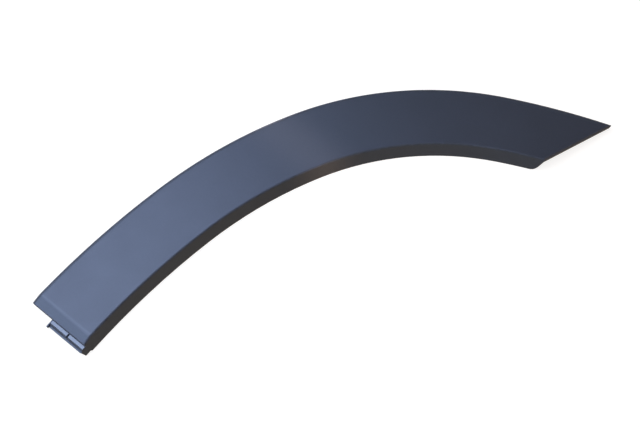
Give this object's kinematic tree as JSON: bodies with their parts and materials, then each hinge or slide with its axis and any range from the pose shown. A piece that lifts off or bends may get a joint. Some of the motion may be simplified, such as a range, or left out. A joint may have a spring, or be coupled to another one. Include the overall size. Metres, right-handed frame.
{
  "type": "wheel arch trim",
  "caption": "Arched open-backed plastic trim with a sloping face and a flared lip, pointed at one end and with a notched tongue at the other; clips to a car body round the wheel.",
  "frame": {"origin": "centre of the part's box, on the plane of the lip's and the outer side's rear edges, which lie against the car body", "axes": "+X along the arch from the tongue to the pointed end, +Y away from the wheel's centre, +Z out of the car's side"},
  "size_m": [0.702, 0.1742, 0.02],
  "materials": {
    "moulded_plastic": "fine-grained satin, dark grey"
  },
  "bodies": {
    "root": {"wheel_arch_trim": "moulded_plastic"}
  },
  "joints": []
}
